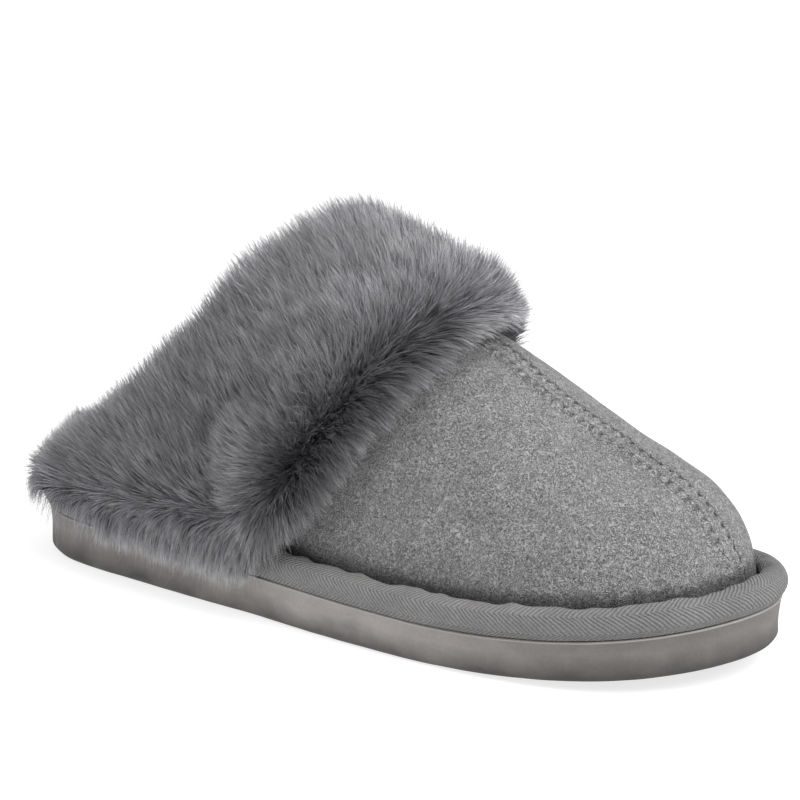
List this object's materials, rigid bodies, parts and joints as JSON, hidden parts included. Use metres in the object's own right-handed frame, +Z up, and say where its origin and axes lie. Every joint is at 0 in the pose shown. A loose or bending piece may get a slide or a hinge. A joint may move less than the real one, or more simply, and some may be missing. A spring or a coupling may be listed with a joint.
{
  "type": "scuff slipper",
  "caption": "Closed-toe, backless house slipper for the right foot: soft suede upper with a raised centre seam, deep fur collar, bound sole edge, plush insole and low foam sole.",
  "frame": {"origin": "on the flat underside of the outsole, half way along the sole and on its heel to toe line", "axes": "+X to the toe, -Y to the outer (lateral) side of the foot, +Z up"},
  "size_m": [0.2674, 0.1019, 0.1214],
  "materials": {
    "foam_sole": "matt moulded foam",
    "twill_binding": "herringbone twill tape",
    "suede": "brushed microsuede",
    "plush": "short plush",
    "fur": "deep soft pile"
  },
  "bodies": {
    "root": {"outsole": "foam_sole", "edge_binding": "twill_binding", "upper": "suede", "insole": "plush", "fur_collar": "fur"}
  },
  "joints": []
}
